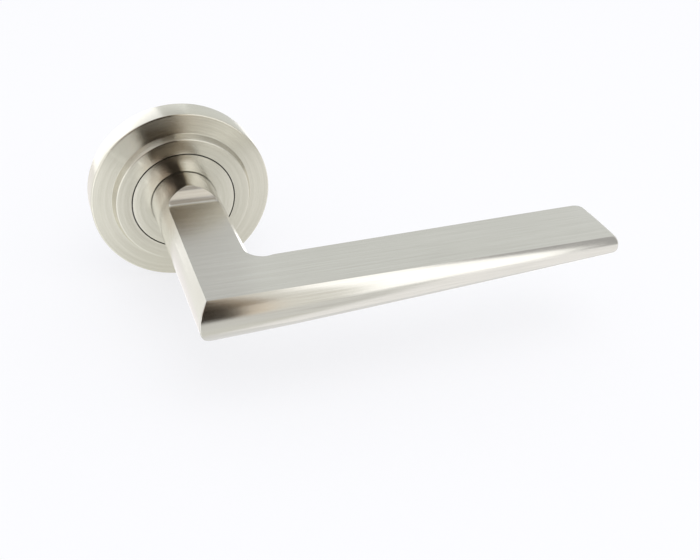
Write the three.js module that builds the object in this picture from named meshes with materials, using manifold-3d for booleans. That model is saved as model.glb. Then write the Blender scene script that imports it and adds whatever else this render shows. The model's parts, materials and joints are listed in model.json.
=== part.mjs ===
// Door lever handle on a round rose, as a scene graph of separate pieces.
//
// Millimetres, +Z up. The origin is where the spindle axis meets the face of the door.
// The spindle axis is Y: the door is towards +Y, the hand towards -Y, and the lever
// reaches out along +X. Pressing the tip down turns the lever about +Y.

import * as THREE from 'three';
import { mergeVertices } from 'three/addons/utils/BufferGeometryUtils.js';
import Module from 'manifold-3d';

const wasm = await Module();
wasm.setup();

// ---------------------------------------------------------------- driving dimensions

const GAP = 0.3; // air between pieces that touch on the real handle
const DEGREE = Math.PI / 180;
const ROUND = 48; // facets of a large turned piece
const FINE_ROUND = 24; // facets of a screw or a pin

// Rose: a stepped cover pressed over the mounting plate
const ROSE_RADIUS = 26;
const ROSE_DEPTH = 10; // door face to the raised face
const RING_DEPTH = 7.64; // door face to the lower outer ring
const STEP_FOOT_RADIUS = 20.2;
const STEP_TOP_RADIUS = 19.3;
const RIM_BEVEL = 0.5;
const COVER_WALL = 1.2;
const COVER_HOLE_RADIUS = 15.05;
const COLLAR_RADIUS = 14.7;

// Mounting plate and the spring housing pressed into it
const PLATE_RADIUS = 24.4;
const PLATE_SKIRT = 1.6;
const FLANGE_FRONT = 4.6;
const FLANGE_BACK = 2.8;
const HOUSING_RADIUS = 18;
const HOUSING_WALL = 1.4;
const HOUSING_FRONT = 8.2;
const HOUSING_WEB = 1.4;
const RIM_GROOVE = { front: 2.1, back: 0.7, radius: 23.6 }; // for the snap ring
const SNAP_RING_WIDTH = 0.7;

// Hub of the plate and the bush in it
const HUB_RADIUS = 10.8;
const HUB_BACK = 3.2;
const SEAT_RADIUS = 10.6; // shallow seat for the bush's flange
const SEAT_DEPTH = 0.9;
const BUSH_HOLE_RADIUS = 9.2;
const BUSH_FLANGE_RADIUS = 10.3;
const BUSH_FLANGE = 0.6;
const BUSH_CLEARANCE = 0.15; // running fit on the spigot

// Fixings
const BOLT_SPACING = 38; // between the two bolt sleeves
const SLEEVE_RADIUS = 3;
const SLEEVE_REACH = 10; // how far a sleeve stands into the door
const SLEEVE_BORE_RADIUS = 1.7;
const RIVET_RADIUS = 1.9; // a sleeve's end, riveted over in the plate
const SCREW_CIRCLE_RADIUS = 20.8;
const SCREW_HEAD_RADIUS = 2.4;
const SCREW_SHANK_RADIUS = 1.3;
const SCREW_REACH = 9;
const SCREW_POINT = 3;
const SCREW_HEAD_HEIGHT = 1.2;
const SCREW_HEAD_ROUND = 0.6;
const CROSS = { length: 2.6, width: 0.6, depth: 0.8 }; // recess for the driver

// Lever
const NECK_RADIUS = 9.46;
const FLAT_HEIGHT = 6.4; // flat top above the spindle axis
const FLAT_START = 24.4; // distance from the door where the flat begins
const SCOOP_RADIUS = 5; // hollow at the foot of the scoop
const SCOOP_TOP = 17.6; // distance from the door where the scoop runs out on the neck
const FRONT_CREASE = 70.2; // front edge of the flat top, from the door
const BACK_CREASE = 54.8; // back edge of the flat top beside the neck
const BACK_SPREAD = 0.027; // how fast the flat widens towards the tip
const LEVER_LENGTH = 105.4; // spindle axis to the end of the flat top
const INNER_FILLET = 5;
const MITRE_EDGE = 0.3;

// Spigot, spindle and the turning pieces behind the collar
const SPIGOT_RADIUS = 7.4;
const SPIGOT_FLAT = 6.3;
const SPIGOT_BACK = 1; // its end, behind the door face
const CLIP_GROOVE = { front: 1, back: 0.25, radius: 6.5 };
const COLLAR_BACK = 8.5;
const SPINDLE_SIZE = 8;
const SPINDLE_FRONT = 19.4;
const SPINDLE_REACH = 42;
const GRUB_DEPTH = 15.2; // grub screw's distance from the door
const GRUB = { radius: 2.3, length: 4.6, socket: 2.5, socketDepth: 2 };
const CAM = { radius: 11, front: 2.6, back: 1.7, arm: 9 };
const WASHER = { radius: 10.5, front: 1.4, back: 1 };
const CIRCLIP = { inner: 6.8, outer: 9.6, front: 0.7, back: 0.05, opening: 6 };

// Return spring and its stops
const TRAVEL = 45 * DEGREE;
const SPRING_RADIUS = 13.2;
const WIRE_RADIUS = 0.6;
const SPRING_TURNS = 1.6;
const SPRING_PITCH = 1.4;
const SPRING_FRONT = 6;
const STOP_CIRCLE_RADIUS = 15.4;
const PIN_RADIUS = 1;
const PIN_FRONT = 6.5;
const FINGER_WIDTH = 3;
const FINGER_THICKNESS = 1.7;
const FINGER_FRONT = 6.3;

// ---------------------------------------------------------------- making solids

// Signed volume of a triangle list: negative when its faces point inwards.
function signedVolume(positions, triangles) {
  const corner = (index) => new THREE.Vector3().fromArray(positions, index * 3);
  let total = 0;
  for (let i = 0; i < triangles.length; i += 3) {
    const a = corner(triangles[i]);
    const b = corner(triangles[i + 1]);
    const c = corner(triangles[i + 2]);
    total += a.dot(b.cross(c)) / 6;
  }
  return total;
}

// A closed geometry as a solid that can be joined and cut.
function solid(geometry) {
  const bare = geometry.clone();
  bare.deleteAttribute('normal');
  bare.deleteAttribute('uv');
  const merged = mergeVertices(bare, 1e-4);
  const positions = merged.attributes.position.array;
  const kept = [];
  const index = merged.index.array;
  for (let i = 0; i < index.length; i += 3) {
    const [a, b, c] = index.slice(i, i + 3);
    if (a !== b && b !== c && c !== a) {
      kept.push(a, b, c);
    }
  }
  if (signedVolume(positions, kept) < 0) {
    kept.reverse();
  }
  return new wasm.Manifold(new wasm.Mesh({
    numProp: 3,
    vertProperties: new Float32Array(positions),
    triVerts: new Uint32Array(kept),
  }));
}

// A solid back as a three.js geometry.
function geometryOf(body) {
  const mesh = body.getMesh();
  const geometry = new THREE.BufferGeometry();
  geometry.setAttribute('position', new THREE.BufferAttribute(mesh.vertProperties, 3));
  geometry.setIndex(new THREE.BufferAttribute(mesh.triVerts, 1));
  const flat = geometry.toNonIndexed();
  flat.computeVertexNormals();
  return flat;
}

// A turned piece about Y. The profile holds [radius, y] pairs in order round the section.
function turned(profile, segments = ROUND) {
  const points = profile.map(([radius, y]) => new THREE.Vector2(radius, y));
  if (profile[0][0] > 0) {
    points.push(points[0].clone());
  }
  return solid(new THREE.LatheGeometry(points, segments));
}

// A plain ring about Y between two depths.
function ring(inner, outer, front, back, segments = ROUND) {
  return turned([[inner, front], [outer, front], [outer, back], [inner, back]], segments);
}

// A plain round bar about Y between two depths.
function bar(radius, front, back, segments = ROUND) {
  return turned([[0, front], [radius, front], [radius, back], [0, back]], segments);
}

// An outline pushed along one axis: it is drawn on the other two, in cyclic order.
function prism(outline, axis, from, to) {
  const geometry = new THREE.ExtrudeGeometry(outline, {
    depth: to - from,
    bevelEnabled: false,
    curveSegments: 16,
  });
  geometry.translate(0, 0, from);
  const x = new THREE.Vector3(1, 0, 0);
  const y = new THREE.Vector3(0, 1, 0);
  const z = new THREE.Vector3(0, 0, 1);
  const frames = { x: [y, z, x], y: [z, x, y], z: [x, y, z] };
  geometry.applyMatrix4(new THREE.Matrix4().makeBasis(...frames[axis]));
  return solid(geometry);
}

function rectangle(width, height) {
  return new THREE.Shape([
    new THREE.Vector2(-width / 2, -height / 2),
    new THREE.Vector2(width / 2, -height / 2),
    new THREE.Vector2(width / 2, height / 2),
    new THREE.Vector2(-width / 2, height / 2),
  ]);
}

function hexagon(acrossFlats) {
  const radius = acrossFlats / Math.sqrt(3);
  const corners = [];
  for (let i = 0; i < 6; i += 1) {
    const angle = i * 60 * DEGREE;
    corners.push(new THREE.Vector2(radius * Math.cos(angle), radius * Math.sin(angle)));
  }
  return new THREE.Shape(corners);
}

// Turns a solid about Y, so that something on +X comes to an angle above +X.
function turnedTo(body, angle) {
  return body.rotate([0, -angle / DEGREE, 0]);
}

// ---------------------------------------------------------------- materials

function metal(color, roughness, metalness = 1) {
  return new THREE.MeshStandardMaterial({ color, roughness, metalness });
}

const finishes = {
  satinNickel: () => metal(0xb9b4ab, 0.34),
  castZinc: () => metal(0x8f9296, 0.55),
  zincPlate: () => metal(0xa9adb0, 0.4),
  springSteel: () => metal(0x4a4c50, 0.35),
  nylon: () => metal(0xe4e0d4, 0.6, 0),
};

const handle = new THREE.Group();

function add(name, body, finish) {
  const mesh = new THREE.Mesh(geometryOf(body), finish());
  mesh.name = name;
  handle.add(mesh);
}

// ---------------------------------------------------------------- rose

function roseCover() {
  const ringBack = -RING_DEPTH + COVER_WALL;
  const faceBack = -ROSE_DEPTH + COVER_WALL;
  return turned([
    [ROSE_RADIUS, 0],
    [ROSE_RADIUS, -RING_DEPTH + RIM_BEVEL],
    [ROSE_RADIUS - RIM_BEVEL, -RING_DEPTH],
    [STEP_FOOT_RADIUS, -RING_DEPTH],
    [STEP_TOP_RADIUS, -ROSE_DEPTH],
    [COVER_HOLE_RADIUS, -ROSE_DEPTH],
    [COVER_HOLE_RADIUS, faceBack],
    [STEP_TOP_RADIUS - COVER_WALL, faceBack],
    [STEP_FOOT_RADIUS - COVER_WALL, ringBack],
    [ROSE_RADIUS - COVER_WALL, ringBack],
    [ROSE_RADIUS - COVER_WALL, 0],
  ], 72);
}

// Where the four wood screws stand, on the diagonals.
const screwPlaces = [45, 135, 225, 315].map((angle) => ({
  x: SCREW_CIRCLE_RADIUS * Math.cos(angle * DEGREE),
  z: SCREW_CIRCLE_RADIUS * Math.sin(angle * DEGREE),
}));

function mountingPlate() {
  const webBack = -HOUSING_FRONT + HOUSING_WEB;
  const wall = HOUSING_RADIUS - HOUSING_WALL;
  let plate = turned([
    [PLATE_RADIUS, 0],
    [PLATE_RADIUS, -RIM_GROOVE.back],
    [RIM_GROOVE.radius, -RIM_GROOVE.back],
    [RIM_GROOVE.radius, -RIM_GROOVE.front],
    [PLATE_RADIUS, -RIM_GROOVE.front],
    [PLATE_RADIUS, -FLANGE_FRONT],
    [HOUSING_RADIUS, -FLANGE_FRONT],
    [HOUSING_RADIUS, -HOUSING_FRONT],
    [SEAT_RADIUS, -HOUSING_FRONT],
    [SEAT_RADIUS, -HOUSING_FRONT + SEAT_DEPTH],
    [BUSH_HOLE_RADIUS, -HOUSING_FRONT + SEAT_DEPTH],
    [BUSH_HOLE_RADIUS, -HUB_BACK],
    [HUB_RADIUS, -HUB_BACK],
    [HUB_RADIUS, webBack],
    [wall, webBack],
    [wall, -FLANGE_BACK],
    [PLATE_RADIUS - PLATE_SKIRT, -FLANGE_BACK],
    [PLATE_RADIUS - PLATE_SKIRT, 0],
  ]);
  const drill = (radius) => bar(radius, -FLANGE_FRONT - 1, 0, FINE_ROUND);
  for (const { x, z } of screwPlaces) {
    plate = plate.subtract(drill(SCREW_SHANK_RADIUS + GAP).translate([x, 0, z]));
  }
  for (const side of [-1, 1]) {
    plate = plate.subtract(drill(RIVET_RADIUS + GAP).translate([side * BOLT_SPACING / 2, 0, 0]));
  }
  return plate;
}

function bearingBush() {
  const inner = SPIGOT_RADIUS + BUSH_CLEARANCE;
  return turned([
    [inner, -HOUSING_FRONT],
    [BUSH_FLANGE_RADIUS, -HOUSING_FRONT],
    [BUSH_FLANGE_RADIUS, -HOUSING_FRONT + BUSH_FLANGE],
    [BUSH_HOLE_RADIUS - GAP, -HOUSING_FRONT + BUSH_FLANGE],
    [BUSH_HOLE_RADIUS - GAP, -HUB_BACK],
    [inner, -HUB_BACK],
  ]);
}

function snapRing() {
  const inner = RIM_GROOVE.radius + GAP;
  return ring(inner, inner + SNAP_RING_WIDTH, -RIM_GROOVE.front + GAP, -RIM_GROOVE.back - GAP);
}

// A threaded sleeve, riveted through the flange, that takes a bolt from the far side.
function boltSleeve(side) {
  const shoulder = -FLANGE_BACK + GAP;
  return turned([
    [0, -FLANGE_FRONT],
    [RIVET_RADIUS, -FLANGE_FRONT],
    [RIVET_RADIUS, shoulder],
    [SLEEVE_RADIUS, shoulder],
    [SLEEVE_RADIUS, SLEEVE_REACH],
    [SLEEVE_BORE_RADIUS, SLEEVE_REACH],
    [SLEEVE_BORE_RADIUS, 0],
    [0, 0],
  ], FINE_ROUND).translate([side * BOLT_SPACING / 2, 0, 0]);
}

// A wood screw: a low round head with a cross recess, a shank and a point.
function woodScrew({ x, z }) {
  const seat = -FLANGE_FRONT - GAP;
  const top = seat - SCREW_HEAD_HEIGHT;
  const body = turned([
    [0, top],
    [SCREW_HEAD_RADIUS - SCREW_HEAD_ROUND, top],
    [SCREW_HEAD_RADIUS, top + SCREW_HEAD_ROUND],
    [SCREW_HEAD_RADIUS, seat],
    [SCREW_SHANK_RADIUS, seat],
    [SCREW_SHANK_RADIUS, SCREW_REACH - SCREW_POINT],
    [0, SCREW_REACH],
  ], FINE_ROUND);
  const slot = (width, height) => prism(rectangle(width, height), 'y', top - 1, top + CROSS.depth);
  const slotA = slot(CROSS.width, CROSS.length);
  const slotB = slot(CROSS.length, CROSS.width);
  return body.subtract(slotA).subtract(slotB).translate([x, 0, z]);
}

// ---------------------------------------------------------------- lever

// Section of the handle at a distance along X from the spindle axis: a flat-topped oval.
// It is deepest at the neck and thins to the tip.
function gripSection(x) {
  const along = Math.max(x, 0) / LEVER_LENGTH;
  const power = 2 + 0.62 * along;
  const crease = (FRONT_CREASE - BACK_CREASE) / 2 + BACK_SPREAD * x / 2;
  const reach = crease + 2.6 - 1.5 * along;
  const middle = 3 * along;
  const share = (1 - (crease / reach) ** power) ** (1 / power);
  return {
    power,
    reach,
    middle,
    centre: -FRONT_CREASE + crease,
    above: (FLAT_HEIGHT - middle) / share,
    below: 8.1 - 0.03 * x - 0.00013 * x * x,
  };
}

// Section of the neck at a distance from the door: round at the rose.
// It meets the handle's own depth at the corner.
function neckSection(depth) {
  const along = THREE.MathUtils.smoothstep(depth, FLAT_START, BACK_CREASE);
  const corner = gripSection(0);
  return {
    power: 2,
    reach: NECK_RADIUS,
    middle: 0,
    above: THREE.MathUtils.lerp(NECK_RADIUS, corner.above, along),
    below: THREE.MathUtils.lerp(NECK_RADIUS, corner.below, along),
  };
}

// A point of a section at an angle: sideways and up.
function sectionPoint(section, angle) {
  const bend = (value) => Math.sign(value) * Math.abs(value) ** (2 / section.power);
  const up = Math.sin(angle);
  return {
    side: section.reach * bend(Math.cos(angle)),
    height: section.middle + (up > 0 ? section.above : section.below) * bend(up),
  };
}

// Corner radius in plan at an angle round the section. The outer edge is a sharp mitre,
// the underside and the inner side are rounded.
function cornerRadius(angle) {
  const turn = Math.abs(angle / DEGREE - 165);
  return THREE.MathUtils.lerp(MITRE_EDGE, INNER_FILLET, THREE.MathUtils.smoothstep(turn, 45, 110));
}

// A closed skin over a row of rings with the same number of points, capped at both ends.
function loft(rings) {
  const count = rings[0].length;
  const positions = rings.flat().flatMap((point) => point.toArray());
  const index = [];
  for (let row = 0; row + 1 < rings.length; row += 1) {
    for (let i = 0; i < count; i += 1) {
      const a = row * count + i;
      const b = row * count + (i + 1) % count;
      index.push(a, b, b + count, a, b + count, a + count);
    }
  }
  for (const [row, flip] of [[0, false], [rings.length - 1, true]]) {
    for (let i = 1; i + 1 < count; i += 1) {
      const fan = [row * count, row * count + i + 1, row * count + i];
      index.push(...(flip ? fan.reverse() : fan));
    }
  }
  const geometry = new THREE.BufferGeometry();
  geometry.setAttribute('position', new THREE.Float32BufferAttribute(positions, 3));
  geometry.setIndex(index);
  return solid(geometry);
}

// The neck and the handle as one mitred bar, before its flat is milled.
function mitredBar() {
  const points = 44;
  const angles = Array.from({ length: points }, (_, i) => ((i + 0.5) / points) * 2 * Math.PI);
  const rings = [];
  for (const depth of [ROSE_DEPTH + GAP, FLAT_START, 32, 38, 46]) {
    const section = neckSection(depth);
    rings.push(angles.map((angle) => {
      const { side, height } = sectionPoint(section, angle);
      return new THREE.Vector3(side, -depth, height);
    }));
  }
  const neckEnd = neckSection(BACK_CREASE);
  const gripStart = gripSection(0);
  for (let step = 0; step <= 6; step += 1) {
    const turn = step * 15 * DEGREE;
    rings.push(angles.map((angle) => {
      const radius = cornerRadius(angle);
      const { side, height } = sectionPoint(neckEnd, angle);
      const across = sectionPoint(gripStart, angle).side;
      const x = side + radius * (1 - Math.cos(turn));
      const y = gripStart.centre + across + radius * (1 - Math.sin(turn));
      return new THREE.Vector3(x, y, height);
    }));
  }
  for (const x of [16, 24, 34, 46, 58, 70, 82, 92, 100, 112]) {
    const section = gripSection(x);
    rings.push(angles.map((angle) => {
      const { side, height } = sectionPoint(section, angle);
      return new THREE.Vector3(x, section.centre + side, height);
    }));
  }
  return loft(rings);
}

// What comes off the top: the long flat and the scoop that ends it. The scoop is two arcs
// that meet on one slope, hollow at the foot and round where it runs out on the neck.
function flatCut() {
  const far = 90;
  const high = 20;
  const rise = NECK_RADIUS + 0.02 - FLAT_HEIGHT;
  const run = FLAT_START - SCOOP_TOP;
  const slope = 2 * Math.atan2(rise, run);
  const topRadius = run / Math.sin(slope) - SCOOP_RADIUS;
  const hollow = FLAT_HEIGHT + SCOOP_RADIUS;
  const round = FLAT_HEIGHT + rise - topRadius;
  const up = Math.PI / 2;
  const outline = new THREE.Shape();
  outline.moveTo(-far, FLAT_HEIGHT);
  outline.lineTo(-FLAT_START, FLAT_HEIGHT);
  outline.absarc(-FLAT_START, hollow, SCOOP_RADIUS, -up, slope - up, false);
  outline.absarc(-SCOOP_TOP, round, topRadius, up + slope, up, true);
  outline.lineTo(-SCOOP_TOP, high);
  outline.lineTo(-far, high);
  return prism(outline, 'x', -30, 130);
}

// The space that the end of the handle fills, seen from the side: a rounded nose.
// It is drawn on Z and X.
function noseSpace() {
  const nose = LEVER_LENGTH + 1.2;
  const outline = new THREE.Shape();
  outline.moveTo(-20, -30);
  outline.lineTo(-20, LEVER_LENGTH - 5);
  outline.lineTo(-1.2, LEVER_LENGTH - 5);
  outline.quadraticCurveTo(-1, nose, 3, nose);
  outline.quadraticCurveTo(5, nose, FLAT_HEIGHT, LEVER_LENGTH);
  outline.lineTo(20, LEVER_LENGTH - 2);
  outline.lineTo(20, -30);
  return prism(outline, 'y', -90, 10);
}

function lever() {
  const root = -ROSE_DEPTH - 2;
  const lip = SPIGOT_RADIUS - 0.2;
  const spigot = turned([
    [0, root],
    [SPIGOT_RADIUS, root],
    [SPIGOT_RADIUS, -CLIP_GROOVE.front],
    [CLIP_GROOVE.radius, -CLIP_GROOVE.front],
    [CLIP_GROOVE.radius, CLIP_GROOVE.back],
    [lip, CLIP_GROOVE.back],
    [lip, SPIGOT_BACK],
    [0, SPIGOT_BACK],
  ]);
  const socketSize = SPINDLE_SIZE + 2 * GAP;
  const past = SPIGOT_BACK + 1;
  const socket = prism(rectangle(socketSize, socketSize), 'y', -SPINDLE_FRONT - GAP, past);
  const drill = bar(GRUB.radius + GAP, 0, NECK_RADIUS, FINE_ROUND).rotate([-90, 0, 0]);
  const grubHole = drill.translate([0, -GRUB_DEPTH, -3]);
  let body = mitredBar().subtract(flatCut()).intersect(noseSpace()).add(spigot);
  for (const side of [-1, 1]) {
    const flat = prism(rectangle(20, 10), 'y', -CAM.front - 0.1, past);
    body = body.subtract(flat.translate([side * (SPIGOT_FLAT + 5), 0, 0]));
  }
  return body.subtract(socket).subtract(grubHole);
}

// ---------------------------------------------------------------- turning pieces

// The disc that turns with the neck, flush with the rose's raised face.
function collar() {
  return ring(SPIGOT_RADIUS + GAP, COLLAR_RADIUS, -ROSE_DEPTH, -COLLAR_BACK);
}

function thrustWasher() {
  return ring(SPIGOT_RADIUS + GAP, WASHER.radius, -WASHER.front, -WASHER.back);
}

function grubScrew() {
  const { radius, length } = GRUB;
  const body = bar(radius, 0, length, FINE_ROUND);
  const socket = prism(hexagon(GRUB.socket), 'y', length - GRUB.socketDepth, length + 1);
  const tip = SPINDLE_SIZE / 2 + 0.35;
  return body.subtract(socket).rotate([-90, 0, 0]).translate([0, -GRUB_DEPTH, -tip]);
}

// Angle of the cam's finger at rest, half the travel to one side of straight up.
const FINGER_ANGLE = 90 * DEGREE + TRAVEL / 2;

function driveCam() {
  const front = -CAM.front;
  const back = -CAM.back;
  const tip = STOP_CIRCLE_RADIUS + FINGER_THICKNESS / 2;
  const armPlate = prism(rectangle(FINGER_WIDTH, tip - CAM.arm), 'y', front, back);
  const fingerBar = prism(rectangle(FINGER_WIDTH, FINGER_THICKNESS), 'y', -FINGER_FRONT, back);
  const lug = armPlate.translate([(tip + CAM.arm) / 2, 0, 0]);
  const arm = turnedTo(lug.add(fingerBar.translate([STOP_CIRCLE_RADIUS, 0, 0])), FINGER_ANGLE);
  const hole = bar(SPIGOT_RADIUS + GAP, front - 1, back + 1);
  const flats = prism(rectangle(30, 2 * (SPIGOT_FLAT + GAP)), 'y', front - 1, back + 1);
  return bar(CAM.radius, front, back).add(arm).subtract(hole.intersect(flats));
}

function circlip() {
  const cutter = prism(rectangle(CIRCLIP.opening, CIRCLIP.opening), 'y', -2, 1);
  const opening = cutter.translate([0, 0, -CIRCLIP.outer + 1]);
  return ring(CIRCLIP.inner, CIRCLIP.outer, -CIRCLIP.front, -CIRCLIP.back).subtract(opening);
}

// Angular room between two pieces on the stop circle, centre to centre.
function spacing(halfWidths) {
  return (halfWidths + GAP) / STOP_CIRCLE_RADIUS;
}

function pin(angle) {
  const stud = bar(PIN_RADIUS, -PIN_FRONT, -HUB_BACK, FINE_ROUND);
  return turnedTo(stud.translate([STOP_CIRCLE_RADIUS, 0, 0]), angle);
}

const MOVING_LEG_ANGLE = FINGER_ANGLE - spacing(FINGER_WIDTH / 2 + WIRE_RADIUS + GAP);
const FIXED_LEG_ANGLE = MOVING_LEG_ANGLE + SPRING_TURNS * 2 * Math.PI;
const PIN_OFFSET = spacing(FINGER_WIDTH / 2 + PIN_RADIUS);
const POST_OFFSET = spacing(WIRE_RADIUS + PIN_RADIUS + GAP);

// A torsion spring: round turns about Y with a leg turned out at each end.
function returnSpring() {
  const place = (radius, angle, y) => {
    return new THREE.Vector3(radius * Math.cos(angle), y, radius * Math.sin(angle));
  };
  const back = -SPRING_FRONT + SPRING_TURNS * SPRING_PITCH;
  const legs = [15.9, 14.9];
  const points = legs.map((radius) => place(radius, FIXED_LEG_ANGLE, -SPRING_FRONT));
  const steps = 36;
  for (let i = 1; i < steps; i += 1) {
    const angle = FIXED_LEG_ANGLE - (i / steps) * SPRING_TURNS * 2 * Math.PI;
    points.push(place(SPRING_RADIUS, angle, -SPRING_FRONT + (i / steps) * (back + SPRING_FRONT)));
  }
  points.push(...legs.reverse().map((radius) => place(radius, MOVING_LEG_ANGLE, back)));
  const wire = new THREE.Shape();
  wire.absarc(0, 0, WIRE_RADIUS, 0, 2 * Math.PI, false);
  return solid(new THREE.ExtrudeGeometry(wire, {
    extrudePath: new THREE.CatmullRomCurve3(points),
    steps: 88,
    curveSegments: 4,
    bevelEnabled: false,
  }));
}

function spindle() {
  const half = SPINDLE_SIZE / 2;
  const chamfer = 0.5;
  const square = new THREE.Shape([
    new THREE.Vector2(-half + chamfer, -half),
    new THREE.Vector2(half - chamfer, -half),
    new THREE.Vector2(half, -half + chamfer),
    new THREE.Vector2(half, half - chamfer),
    new THREE.Vector2(half - chamfer, half),
    new THREE.Vector2(-half + chamfer, half),
    new THREE.Vector2(-half, half - chamfer),
    new THREE.Vector2(-half, -half + chamfer),
  ]);
  return prism(square, 'y', -SPINDLE_FRONT, SPINDLE_REACH);
}

// ---------------------------------------------------------------- the whole handle

add('rose_cover', roseCover(), finishes.satinNickel);
add('mounting_plate', mountingPlate(), finishes.castZinc);
add('bearing_bush', bearingBush(), finishes.nylon);
add('cover_snap_ring', snapRing(), finishes.springSteel);
add('bolt_sleeve_left', boltSleeve(-1), finishes.zincPlate);
add('bolt_sleeve_right', boltSleeve(1), finishes.zincPlate);
screwPlaces.forEach((place, i) => {
  add(`wood_screw_${i + 1}`, woodScrew(place), finishes.zincPlate);
});
add('rest_stop_pin', pin(FINGER_ANGLE + PIN_OFFSET), finishes.springSteel);
add('travel_stop_pin', pin(FINGER_ANGLE - TRAVEL - PIN_OFFSET), finishes.springSteel);
add('spring_post', pin(FIXED_LEG_ANGLE - POST_OFFSET), finishes.springSteel);
add('return_spring', returnSpring(), finishes.springSteel);
add('lever', lever(), finishes.satinNickel);
add('neck_collar', collar(), finishes.satinNickel);
add('grub_screw', grubScrew(), finishes.springSteel);
add('spindle', spindle(), finishes.zincPlate);
add('drive_cam', driveCam(), finishes.castZinc);
add('thrust_washer', thrustWasher(), finishes.zincPlate);
add('retaining_circlip', circlip(), finishes.springSteel);

export default handle;
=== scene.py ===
# %% [markdown]
# # A satin nickel door lever handle
#
# This lesson finishes a door lever handle whose parts, sizes and joint were already
# designed elsewhere. The design is loaded as a fixed frame, and every piece made here
# rides on one of its two bodies: the rose, which is fixed to the door, and the lever,
# which turns. All lengths are metres. The door is towards +Y, the hand towards -Y, the
# lever reaches along +X and +Z is up.

# %% Load the frame
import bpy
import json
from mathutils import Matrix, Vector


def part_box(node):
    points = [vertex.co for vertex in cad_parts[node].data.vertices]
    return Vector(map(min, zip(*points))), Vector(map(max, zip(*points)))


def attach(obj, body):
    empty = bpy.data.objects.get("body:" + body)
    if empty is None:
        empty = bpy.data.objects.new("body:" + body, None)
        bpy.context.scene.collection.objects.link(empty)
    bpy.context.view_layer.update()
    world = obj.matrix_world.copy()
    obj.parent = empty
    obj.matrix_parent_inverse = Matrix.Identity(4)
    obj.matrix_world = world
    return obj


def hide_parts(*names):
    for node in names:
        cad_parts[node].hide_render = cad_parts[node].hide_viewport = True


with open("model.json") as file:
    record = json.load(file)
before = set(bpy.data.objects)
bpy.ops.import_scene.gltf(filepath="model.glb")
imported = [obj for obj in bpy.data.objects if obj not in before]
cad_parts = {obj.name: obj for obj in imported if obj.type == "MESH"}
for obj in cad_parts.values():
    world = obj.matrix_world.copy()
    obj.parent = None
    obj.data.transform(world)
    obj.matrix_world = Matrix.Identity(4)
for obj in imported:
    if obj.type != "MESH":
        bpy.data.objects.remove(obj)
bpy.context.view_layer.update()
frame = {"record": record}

# %% [markdown]
# The rest of the tools: `bpy` for the scene, `bmesh` for building meshes face by face,
# and a little vector arithmetic. One constant turns millimetres, which is how a maker
# thinks about hardware, into the scene's metres.

# %% Tools and units
import json
import math

import bmesh
import bpy
from mathutils import Matrix, Vector

MM = 0.001
scene = bpy.context.scene
print("one millimetre is", MM, "of the scene's metres")

# %% [markdown]
# ## Camera first
#
# A handle shows its shape best from a little above, looking along the lever. The camera
# is placed by the point where it stands, the point it looks at and a small roll, because
# those three are easy to read and to change.

# %% Camera
CAMERA_STANDS = Vector((-43.7, -249.0, 133.1)) * MM
CAMERA_LOOKS_AT = Vector((41.0, -40.0, -15.6)) * MM
CAMERA_ROLL = math.radians(3.47)
CAMERA_LENS = 48.3  # millimetres
SENSOR_WIDTH = 36


def place_camera():
    data = bpy.data.cameras.new("camera")
    data.lens = CAMERA_LENS
    data.sensor_width = SENSOR_WIDTH
    camera = bpy.data.objects.new("camera", data)
    scene.collection.objects.link(camera)
    gaze = (CAMERA_LOOKS_AT - CAMERA_STANDS).normalized()
    level = gaze.to_track_quat("-Z", "Y").to_matrix()
    roll = Matrix.Rotation(-CAMERA_ROLL, 3, gaze)
    camera.matrix_world = Matrix.Translation(CAMERA_STANDS) @ (roll @ level).to_4x4()
    scene.camera = camera


place_camera()
print("camera distance:", round((CAMERA_LOOKS_AT - CAMERA_STANDS).length * 1000), "mm")

# %% [markdown]
# ## Helpers for turned pieces
#
# Most of the hardware is turned on a lathe, so most of the meshes are one profile swept
# round the spindle axis. A profile is a list of (radius, depth) pairs in millimetres.
# Depth is distance in front of the door, so a turned piece is easy to check against a
# ruler. A machined corner is never perfectly sharp: `eased` swaps each corner for a
# short arc, which is what catches the light along an edge.

# %% Turned pieces
SEGMENTS = 192
NEARLY_STRAIGHT = math.radians(175)  # a corner flatter than this is left alone
CUT_SHARE = 0.49  # a cut never takes half of a side
SAME_PLACE = 1e-7  # metres, points closer than this are merged
TINY = 1e-6  # millimetres, a radius or a side below this counts as nothing
SMOOTH_BELOW = 30  # degrees, sharper edges stay crisp


def eased(profile, radii, steps=3):
    """The closed profile with each corner swapped for an arc of its own radius."""
    result = []
    count = len(profile)
    for i, point in enumerate(profile):
        here = Vector(point)
        before = Vector(profile[i - 1]) - here
        after = Vector(profile[(i + 1) % count]) - here
        radius = radii[i]
        if radius <= 0 or min(before.length, after.length) < TINY:
            result.append(here)
            continue
        angle = before.angle(after)
        if angle > NEARLY_STRAIGHT:
            result.append(here)
            continue
        room = min(before.length * CUT_SHARE, after.length * CUT_SHARE)
        cut = min(radius / math.tan(angle / 2), room)
        start = here + before.normalized() * cut
        end = here + after.normalized() * cut
        for step in range(steps + 1):
            t = step / steps
            result.append(start * (1 - t) ** 2 + here * 2 * t * (1 - t) + end * t ** 2)
    return result


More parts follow.
